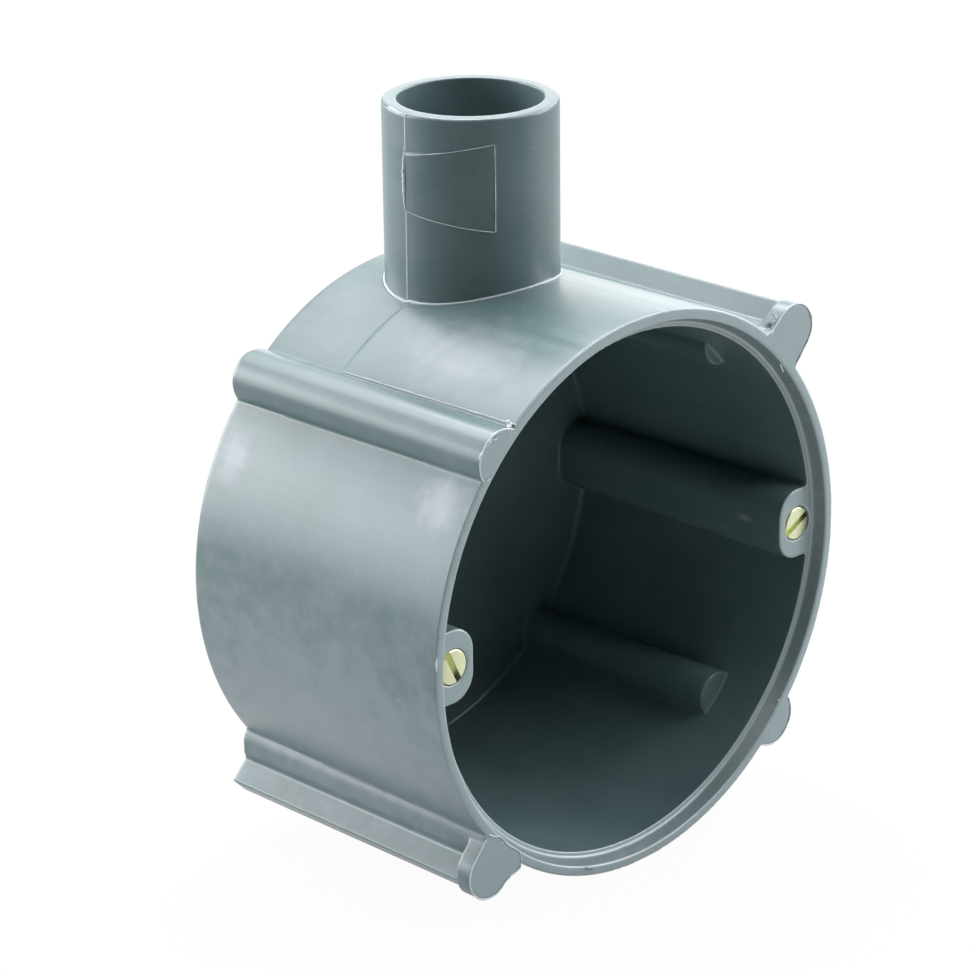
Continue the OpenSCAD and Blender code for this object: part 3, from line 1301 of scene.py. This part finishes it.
@dataclass(frozen=True)
class MouldedPvc:
    """Finish of the moulding.

    Rigid PVC, injection moulded in a polished steel mould: an even green-grey
    with a satin face, faint flow clouds, drag lines along the draw and fine
    scratches from the sorting bin. Painted light makes the front's faces that
    look forward paler, and a painted highlight makes their edges the palest.
    Pale, dull patches, partly bloom and partly painted light, lie in small spots
    near the edges and in a large one low on the left.
    """

    name: str = "moulded_pvc_grey"
    colour: str = "#4C6162"
    cloud: str = "#586C6D"
    # Colour of the pale patches, partly bloom and partly painted light, and of the scratches
    bloom_and_light: str = "#9299A1"
    # Painted light: the front's faces paler, and their edges palest as a painted highlight
    lit_front: str = "#7B8D8E"
    edge: str = "#93A0A2"
    roughness: float = 0.31
    ior: float = 1.53
    grain_mm: float = 0.25
    grain_height_mm: float = 0.0012
    cloud_mm: float = 11.0
    drag_mm: float = 1.3
    drag_length_mm: float = 30.0
    scratch_mm: float = 2.6
    # Scratches bend over bend_mm by bend_reach_mm, and lie scratch_gap lengths apart
    bend_mm: float = 9.0
    bend_reach_mm: float = 4.0
    scratch_gap: float = 4.0
    scratch_width: float = 0.012
    scratch_shown: Point = (0.56, 0.66)
    scratch_strength: float = 0.16
    bloom_and_light_mm: float = 2.2
    bloom_and_light_fade: Point = (1.5, 0.6)
    drag_share: float = 0.35
    cloud_range: Point = (0.5, 0.9)
    drag_range: Point = (0.3, 0.7)
    gloss_swing: Point = (-0.03, 0.04)
    paled_rougher: float = 0.12
    # Where the painted light on the front starts along Y, and how far the skin looks forward where
    # the painted edge highlight and the painted light on the faces start and are full, 1 for fully
    front_mm: Point = (-38.5, -39.2)
    edge_highlight_facing: Point = (0.3, 0.6)
    lit_front_facing: Point = (0.9, 0.98)
    # Pale patches, partly bloom and partly painted light; the large last one paints light onto the
    # lower left
    blooms_and_light: tuple[BloomAndLight, ...] = (
        BloomAndLight((-28.7, -37.0, 18.6), (3.0, 4.6, 6.0), 0.6),
        BloomAndLight((-30.2, -3.6, 16.4), (3.0, 3.0, 6.0), 0.5),
        BloomAndLight((-34.3, -34.8, -4.2), (1.4, 0.9, 0.8), 0.4),
        BloomAndLight((-34.4, -4.0, -12.0), (4.0, 5.0, 14.0), 0.3),
        BloomAndLight((-16.0, -28.0, 31.0), (12.0, 12.0, 5.0), 0.35),
        BloomAndLight((20.0, -36.0, 28.0), (7.0, 7.0, 5.0), 0.25),
        BloomAndLight((26.8, -33.8, 0.1), (0.7, 1.9, 0.7), 0.7),
        BloomAndLight((-31.0, -20.0, -12.0), (18.0, 52.0, 24.0), 0.34),
    )

    def _patches(self, tree: bpy.types.NodeTree, in_mm: Socket) -> Socket:
        """Adds up the pale patches, partly bloom and partly painted light.

        Args:
            tree: The material's tree.
            in_mm: The place on the piece in millimetres.

        Returns:
            How pale the skin is, from 0 to 1.
        """
        ragged = add_node(
            tree, "ShaderNodeTexNoise", {"Vector": in_mm, "Scale": 1 / self.bloom_and_light_mm, "Detail": 3.0}
        )
        total: Socket | float = 0.0
        for bloom_and_light in self.blooms_and_light:
            off = add_node(
                tree, "ShaderNodeVectorMath", {0: in_mm, 1: bloom_and_light.middle}, operation="SUBTRACT"
            )
            share = add_node(
                tree,
                "ShaderNodeVectorMath",
                {0: off.outputs[0], 1: bloom_and_light.reach},
                operation="DIVIDE",
            )
            far = add_node(tree, "ShaderNodeVectorMath", {0: share.outputs[0]}, operation="LENGTH")
            uneven = add_node(
                tree,
                "ShaderNodeMath",
                {0: ragged.outputs["Fac"], 1: 1.0, 2: far.outputs["Value"]},
                operation="MULTIPLY_ADD",
            )
            pale = add_node(
                tree,
                "ShaderNodeMapRange",
                {
                    "Value": uneven.outputs[0],
                    "From Min": self.bloom_and_light_fade[0],
                    "From Max": self.bloom_and_light_fade[1],
                    "To Min": 0.0,
                    "To Max": bloom_and_light.strength,
                },
                interpolation_type="SMOOTHSTEP",
            )
            total = add_node(
                tree, "ShaderNodeMath", {0: pale.outputs[0], 1: total}, operation="MAXIMUM"
            ).outputs[0]
        return total

    def _painted_front_mask(
        self, tree: bpy.types.NodeTree, in_mm: Socket, low: float, high: float
    ) -> Socket:
        """Finds the front of the box, where paler colour is painted in as light on its faces and as
        a highlight on its edges.

        Args:
            tree: The material's tree.
            in_mm: The place on the piece in millimetres.
            low: How far the skin looks forward where the mask starts, 1 for fully.
            high: The same where the mask is full.

        Returns:
            A mask of the rim's, the bars', the caps' and the posts' front, from 0 to 1.
        """
        normal = add_node(tree, "ShaderNodeNewGeometry").outputs["Normal"]
        facing = add_node(
            tree, "ShaderNodeVectorMath", {0: normal, 1: (0.0, -1.0, 0.0)}, operation="DOT_PRODUCT"
        )
        flat = add_node(
            tree,
            "ShaderNodeMapRange",
            {"Value": facing.outputs["Value"], "From Min": low, "From Max": high},
        )
        depth = add_node(tree, "ShaderNodeSeparateXYZ", {0: in_mm}).outputs["Y"]
        start, full = self.front_mm
        front = add_node(
            tree, "ShaderNodeMapRange", {"Value": depth, "From Min": start, "From Max": full}
        )
        return add_node(
            tree, "ShaderNodeMath", {0: flat.outputs[0], 1: front.outputs[0]}, operation="MULTIPLY"
        ).outputs[0]

    def _scratches(self, tree: bpy.types.NodeTree, in_mm: Socket) -> Socket:
        """Draws fine scratches, a tenth of a millimetre wide so that they show.

        Args:
            tree: The material's tree.
            in_mm: The place on the piece in millimetres.

        Returns:
            A mask of the scratches, from 0 to 1.
        """
        bent = add_node(
            tree, "ShaderNodeTexNoise", {"Vector": in_mm, "Scale": 1 / self.bend_mm, "Detail": 1.0}
        )
        swept = add_node(
            tree,
            "ShaderNodeVectorMath",
            {0: bent.outputs["Color"], 1: (self.bend_reach_mm,) * 3, 2: in_mm},
            operation="MULTIPLY_ADD",
        )
        cells = add_node(
            tree,
            "ShaderNodeTexVoronoi",
            {"Vector": swept.outputs[0], "Scale": 1 / (self.scratch_gap * self.scratch_mm)},
            feature="DISTANCE_TO_EDGE",
        )
        line = add_node(
            tree,
            "ShaderNodeMapRange",
            {
                "Value": cells.outputs["Distance"],
                "From Min": self.scratch_width,
                "From Max": 0.0,
            },
        )
        broken = add_node(
            tree,
            "ShaderNodeTexNoise",
            {"Vector": in_mm, "Scale": 1 / self.scratch_mm, "Detail": 2.0},
        )
        low, high = self.scratch_shown
        shown = add_node(
            tree,
            "ShaderNodeMapRange",
            {"Value": broken.outputs["Fac"], "From Min": low, "From Max": high},
        )
        return add_node(
            tree, "ShaderNodeMath", {0: line.outputs[0], 1: shown.outputs[0]}, operation="MULTIPLY"
        ).outputs[0]

    def material(self) -> bpy.types.Material:
        """Builds the node material."""
        made, tree = blank_material(self.name)
        place = add_node(tree, "ShaderNodeTexCoord")
        in_mm = add_node(
            tree, "ShaderNodeVectorMath", {0: place.outputs["Object"], 3: 1 / MM}, operation="SCALE"
        ).outputs[0]
        clouds = add_node(
            tree,
            "ShaderNodeTexNoise",
            {"Vector": in_mm, "Scale": 1 / self.cloud_mm, "Detail": 4.0, "Roughness": 0.6},
        )
        along = add_node(
            tree,
            "ShaderNodeMapping",
            {"Vector": in_mm, "Scale": (1.0, self.drag_mm / self.drag_length_mm, 1.0)},
        )
        drag = add_node(
            tree,
            "ShaderNodeTexNoise",
            {"Vector": along.outputs[0], "Scale": 1 / self.drag_mm, "Detail": 3.0},
        )
        both = add_node(
            tree,
            "ShaderNodeMath",
            {0: drag.outputs["Fac"], 1: self.drag_share, 2: clouds.outputs["Fac"]},
            operation="MULTIPLY_ADD",
        )
        low, high = self.cloud_range
        haze = add_node(
            tree,
            "ShaderNodeMapRange",
            {"Value": both.outputs[0], "From Min": low, "From Max": high},
        )
        tint = add_node(
            tree,
            "ShaderNodeMix",
            {0: haze.outputs[0], 6: linear(self.colour), 7: linear(self.cloud)},
            data_type="RGBA",
        )
        # Pale patches: partly bloom, partly painted light
        patches = self._patches(tree, in_mm)
        scratches = self._scratches(tree, in_mm)
        faint = add_node(
            tree,
            "ShaderNodeMath",
            {0: scratches, 1: self.scratch_strength},
            operation="MULTIPLY",
        )
        bloom_light_and_scratches = add_node(
            tree,
            "ShaderNodeMath",
            {0: patches, 1: faint.outputs[0]},
            operation="MAXIMUM",
        )
        skin = add_node(
            tree,
            "ShaderNodeMix",
            {0: bloom_light_and_scratches.outputs[0], 6: tint.outputs[2], 7: linear(self.bloom_and_light)},
            data_type="RGBA",
        )
        # Painted highlight on the edges of the front
        edges = self._painted_front_mask(tree, in_mm, *self.edge_highlight_facing)
        edge_highlighted = add_node(
            tree,
            "ShaderNodeMix",
            {0: edges, 6: skin.outputs[2], 7: linear(self.edge)},
            data_type="RGBA",
        )
        # Painted light on the front's faces that look straight forward
        faces = self._painted_front_mask(tree, in_mm, *self.lit_front_facing)
        dressed = add_node(
            tree,
            "ShaderNodeMix",
            {0: faces, 6: edge_highlighted.outputs[2], 7: linear(self.lit_front)},
            data_type="RGBA",
        )
        satin = add_node(
            tree,
            "ShaderNodeMapRange",
            {
                "Value": drag.outputs["Fac"],
                "From Min": self.drag_range[0],
                "From Max": self.drag_range[1],
                "To Min": self.roughness + self.gloss_swing[0],
                "To Max": self.roughness + self.gloss_swing[1],
            },
        )
        gloss = add_node(
            tree,
            "ShaderNodeMath",
            {0: bloom_light_and_scratches.outputs[0], 1: self.paled_rougher, 2: satin.outputs[0]},
            operation="MULTIPLY_ADD",
        )
        grain = add_node(
            tree, "ShaderNodeTexNoise", {"Vector": in_mm, "Scale": 1 / self.grain_mm, "Detail": 2.0}
        )
        bump = add_node(
            tree,
            "ShaderNodeBump",
            {"Height": grain.outputs["Fac"], "Distance": self.grain_height_mm * MM},
        )
        dragged = add_node(
            tree,
            "ShaderNodeBump",
            {
                "Height": drag.outputs["Fac"],
                "Distance": 2 * self.grain_height_mm * MM,
                "Normal": bump.outputs[0],
            },
        )
        shader = add_node(
            tree,
            "ShaderNodeBsdfPrincipled",
            {
                "Base Color": dressed.outputs[2],
                "Roughness": gloss.outputs[0],
                "IOR": self.ior,
                "Normal": dragged.outputs[0],
            },
        )
        add_node(tree, "ShaderNodeOutputMaterial", {"Surface": shader.outputs[0]})
        return made


@dataclass(frozen=True)
class PassivatedSteel:
    """Finish of the screws.

    Steel, turned, then zinc plated and yellow passivated: bright, pale yellow
    with faint green and pink patches.
    """

    name: str = "passivated_zinc_screw"
    colour: str = "#F0F1CB"
    patch: str = "#D6E0B2"
    roughness: float = 0.34
    patch_mm: float = 1.5

    def material(self) -> bpy.types.Material:
        """Builds the node material."""
        made, tree = blank_material(self.name)
        place = add_node(tree, "ShaderNodeTexCoord")
        patches = add_node(
            tree,
            "ShaderNodeTexNoise",
            {"Vector": place.outputs["Object"], "Scale": 1 / (self.patch_mm * MM), "Detail": 3.0},
        )
        tint = add_node(
            tree,
            "ShaderNodeMix",
            {0: patches.outputs["Fac"], 6: linear(self.colour), 7: linear(self.patch)},
            data_type="RGBA",
        )
        shader = add_node(
            tree,
            "ShaderNodeBsdfPrincipled",
            {"Base Color": tint.outputs[2], "Metallic": 1.0, "Roughness": self.roughness},
        )
        add_node(tree, "ShaderNodeOutputMaterial", {"Surface": shader.outputs[0]})
        return made


@dataclass
class Moulding:
    """The whole grey moulding as one skin."""

    finish: MouldedPvc
    quality: Quality
    sizes: CupSizes = field(default_factory=CupSizes)

    def build(self) -> bpy.types.Object:
        """Builds the skin and dresses it.

        Returns:
            The finished piece, riding on the frame in the CAD node's place.
        """
        cup, spout = Cup(self.sizes), Spout(self.sizes)
        posts, outer, inner = ScrewPosts(self.sizes), OuterRibs(self.sizes), InnerRibs(self.sizes)
        ribs = TwinTree()
        holes = ribs.twins(posts.hole(), Rib.POST)
        solids = [
            Workshop.cut(cup.wall_solid(), [spout.throat_cutter(), holes]),
            Workshop.cut(ribs.twins(posts.post(), Rib.POST), [holes]),
            cup.slide_patch(),
            spout.tube(),
            spout.pad(),
            ribs.twins(outer.bar(), Rib.BAR),
            *(ribs.twins(solid, Rib.FIN) for solid in outer.fin()),
            ribs.twins(inner.rib(inner.bar_setback, 0.0), Rib.BAR),
            ribs.twins(inner.rib(inner.fin_setback, inner.fin_sink), Rib.FIN),
            turned(outer.nub(), Rib.FIN.value + 180),
        ]
        mesh = Workshop.fuse(solids, self.quality)
        mesh.transform(FROM_BACK)
        mesh.name = "moulding"
        mesh.materials.clear()
        mesh.materials.append(self.finish.material())
        piece = bpy.data.objects.new("moulding", mesh)
        bpy.context.scene.collection.objects.link(piece)
        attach(piece, ROOT)
        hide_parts("box_body")
        return piece


@dataclass(frozen=True)
class Softbox:
    """A square soft lamp: its direction from the box in degrees, and its power."""

    name: str
    azimuth: float
    elevation: float
    watts: float
    side: float = 0.5
    distance: float = 0.9


@dataclass(frozen=True)
class Glow:
    """A soft bright part of the white sweep, by its direction in degrees."""

    azimuth: float
    elevation: float
    sharpness: float
    strength: float


def towards(azimuth: float, elevation: float) -> Vector:
    """Gives a direction.

    Args:
        azimuth: Degrees from +X to +Y.
        elevation: Degrees above the floor.

    Returns:
        The unit vector.
    """
    a, e = math.radians(azimuth), math.radians(elevation)
    return Vector((math.cos(a) * math.cos(e), math.sin(a) * math.cos(e), math.sin(e)))


@dataclass
class Studio:
    """White sweep, soft lamps and the camera."""

    camera_place: Place = (-0.28990, -0.30289, 0.16388)
    azimuth: float = -0.7890989
    elevation: float = 0.3665321
    roll: float = -0.0122609
    focal_px: float = 3596.62
    floor_height: float = -0.0345
    subject: Place = (0.0, -0.02, 0.0)
    sensor_mm: float = 36.0
    clip: Point = (0.01, 20.0)
    floor_half: float = 4.0
    # How white the floor looks, and where the white starts and is full behind the box
    floor_white: float = 0.96
    floor_fade: Point = (-0.12, -0.02)
    sweep_fade: Point = (0.1, 0.6)
    daylight: str = "#FEFCFF"
    paper: str = "#BABABA"
    # What the object mirrors of the floor before it, where the room is darker
    dim_paper: str = "#5C5C5C"
    lamps: tuple[Softbox, ...] = (
        Softbox("left_low", 109.2, 12.0, 7.6, 0.6),
        Softbox("left_high", 109.2, 40.0, 0.9),
        Softbox("left_side", 134.2, 5.0, 5.2, 0.6),
        Softbox("left_side_high", 134.2, 30.0, 2.4, 0.6),
        Softbox("front_high", -175.8, 60.0, 2.2),
        Softbox("right_low", -30.8, 15.0, 6.0),
        Softbox("right_high", -50.8, 45.0, 5.4),
        Softbox("right_behind", 4.2, 30.0, 4.0),
        Softbox("behind_low", 44.2, 10.0, 1.2),
        Softbox("behind_high", 44.2, 60.0, 9.2),
        Softbox("behind_left", 89.2, 60.0, 5.2),
    )
    glows: tuple[Glow, ...] = (Glow(44.2, 12.0, 40.0, 0.8), Glow(44.2, 24.0, 30.0, 1.4))

    def camera(self) -> None:
        """Places the camera at the photograph's angle."""
        a, e = self.azimuth, self.elevation
        back = Vector((math.sin(a) * math.cos(e), -math.cos(a) * math.cos(e), math.sin(e)))
        right = Vector((math.cos(a), math.sin(a), 0.0))
        up = back.cross(right)
        c, s = math.cos(self.roll), math.sin(self.roll)
        axes = Matrix((c * right + s * up, c * up - s * right, back)).transposed()
        data = bpy.data.cameras.new("camera")
        data.sensor_width = self.sensor_mm
        data.lens = self.focal_px * data.sensor_width / PHOTO_LONG_SIDE
        data.clip_start, data.clip_end = self.clip
        camera = bpy.data.objects.new("camera", data)
        camera.matrix_world = Matrix.Translation(self.camera_place) @ axes.to_4x4()
        bpy.context.scene.collection.objects.link(camera)
        bpy.context.scene.camera = camera

    def hang(self, box: Softbox) -> None:
        """Hangs a soft lamp that faces the box.

        Args:
            box: The lamp.
        """
        way = towards(box.azimuth, box.elevation)
        data = bpy.data.lights.new(box.name, "AREA")
        data.shape, data.size, data.energy = "SQUARE", box.side, box.watts
        data.color = linear(self.daylight)[:3]
        lamp = bpy.data.objects.new(box.name, data)
        lamp.location = Vector(self.subject) + way * box.distance
        lamp.rotation_euler = (-way).to_track_quat("-Z", "Y").to_euler()
        bpy.context.scene.collection.objects.link(lamp)

    def _white_share(
        self, tree: bpy.types.NodeTree, way: Socket, near: float, far: float
    ) -> Socket:
        """Tells how much of a ray meets the plain white of the sweep.

        A camera ray or a transmission ray does so everywhere, and a glossy ray behind
        the box, because the room before the box is darker.

        Args:
            tree: The tree of the floor or the world.
            way: The direction of the ray, or the place that it meets.
            near: How far behind the box the white starts, negative before it.
            far: How far behind the box it is full.

        Returns:
            The share from 0 to 1.
        """
        behind = add_node(
            tree,
            "ShaderNodeVectorMath",
            {0: way, 1: towards(self.glows[0].azimuth, 0.0)},
            operation="DOT_PRODUCT",
        )
        past = add_node(
            tree,
            "ShaderNodeMapRange",
            {"Value": behind.outputs["Value"], "From Min": near, "From Max": far},
        )
        ray = add_node(tree, "ShaderNodeLightPath").outputs
        mirrored = add_node(
            tree,
            "ShaderNodeMath",
            {0: ray["Is Glossy Ray"], 1: past.outputs[0]},
            operation="MULTIPLY",
        )
        seen = add_node(
            tree,
            "ShaderNodeMath",
            {0: ray["Is Camera Ray"], 1: ray["Is Transmission Ray"]},
            operation="MAXIMUM",
        )
        return add_node(
            tree,
            "ShaderNodeMath",
            {0: seen.outputs[0], 1: mirrored.outputs[0]},
            operation="MAXIMUM",
        ).outputs[0]

    def floor(self) -> None:
        """Lays the pale floor, which looks white but keeps the shadow.

        What the box mirrors of it is darker than the paper that lights the box.
        """
        size = self.floor_half
        corners = [(-size, -size), (size, -size), (size, size), (-size, size)]
        mesh = bpy.data.meshes.new("floor")
        mesh.from_pydata([(x, y, self.floor_height) for x, y in corners], [], [(0, 1, 2, 3)])
        made, tree = blank_material("white_paper_sweep")
        mirrored = add_node(tree, "ShaderNodeLightPath").outputs["Is Glossy Ray"]
        tone = add_node(
            tree,
            "ShaderNodeMix",
            {0: mirrored, 6: linear(self.paper), 7: linear(self.dim_paper)},
            data_type="RGBA",
        )
        paper = add_node(tree, "ShaderNodeBsdfDiffuse", {"Color": tone.outputs[2]})
        glow = add_node(tree, "ShaderNodeEmission", {"Color": linear(WHITE), "Strength": 1.0})
        place = add_node(tree, "ShaderNodeNewGeometry").outputs["Position"]
        share = add_node(
            tree,
            "ShaderNodeMath",
            {0: self._white_share(tree, place, *self.floor_fade), 1: self.floor_white},
            operation="MULTIPLY",
        )
        shown = add_node(
            tree,
            "ShaderNodeMixShader",
            {0: share.outputs[0], 1: paper.outputs[0], 2: glow.outputs[0]},
        )
        add_node(tree, "ShaderNodeOutputMaterial", {"Surface": shown.outputs[0]})
        mesh.materials.append(made)
        floor = bpy.data.objects.new("floor", mesh)
        bpy.context.scene.collection.objects.link(floor)

    def world(self) -> None:
        """Makes the sweep behind the box white, and the room before it dark."""
        world = bpy.data.worlds.new("white_sweep")
        world.use_nodes = True
        bpy.context.scene.world = world
        tree = world.node_tree
        tree.nodes.clear()
        way = add_node(tree, "ShaderNodeTexCoord").outputs["Generated"]
        total: Socket | float = 0.0
        for glow in self.glows:
            facing = add_node(
                tree,
                "ShaderNodeVectorMath",
                {0: way, 1: towards(glow.azimuth, glow.elevation)},
                operation="DOT_PRODUCT",
            )
            lit = add_node(
            tree,
            "ShaderNodeMath",
            {0: facing.outputs["Value"], 1: 0.0},
            operation="MAXIMUM",
        )
            soft = add_node(
                tree, "ShaderNodeMath", {0: lit.outputs[0], 1: glow.sharpness}, operation="POWER"
            )
            total = add_node(
                tree,
                "ShaderNodeMath",
                {0: soft.outputs[0], 1: glow.strength, 2: total},
                operation="MULTIPLY_ADD",
            ).outputs[0]
        sweep = add_node(
            tree, "ShaderNodeBackground", {"Color": linear(WHITE), "Strength": total}
        )
        white = add_node(tree, "ShaderNodeBackground", {"Color": linear(WHITE), "Strength": 1.0})
        share = self._white_share(tree, way, *self.sweep_fade)
        shown = add_node(
            tree, "ShaderNodeMixShader", {0: share, 1: sweep.outputs[0], 2: white.outputs[0]}
        )
        add_node(tree, "ShaderNodeOutputWorld", {"Surface": shown.outputs[0]})

    def build(self) -> None:
        """Sets up the whole studio."""
        self.camera()
        self.floor()
        self.world()
        for box in self.lamps:
            self.hang(box)
        bpy.context.scene.view_settings.view_transform = "Standard"


def main() -> None:
    """Builds the pieces in order."""
    logging.basicConfig(level=logging.INFO, format="%(name)s: %(message)s")
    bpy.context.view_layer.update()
    Studio().build()
    quality = Quality.FULL
    body = Moulding(MouldedPvc(), quality).build()
    LOG.info("%s: %d triangles", body.name, len(body.data.polygons))
    sizes = CupSizes()
    flash = FlashLines(sizes, Cup(sizes), Spout(sizes), OuterRibs(sizes))
    for piece in flash.build(FlashPvcAndHighlight().material()):
        LOG.info("%s: %d faces", piece.name, len(piece.data.polygons))
    steel, thread, posts = PassivatedSteel().material(), ThreadTree(), ScrewPosts(sizes)
    for node, side, angle in SCREWS:
        piece = DeviceScrew(node, side, angle, posts).build(thread, steel)
        LOG.info("%s: %d faces", piece.name, len(piece.data.polygons))


if __name__ == "__main__":
    main()
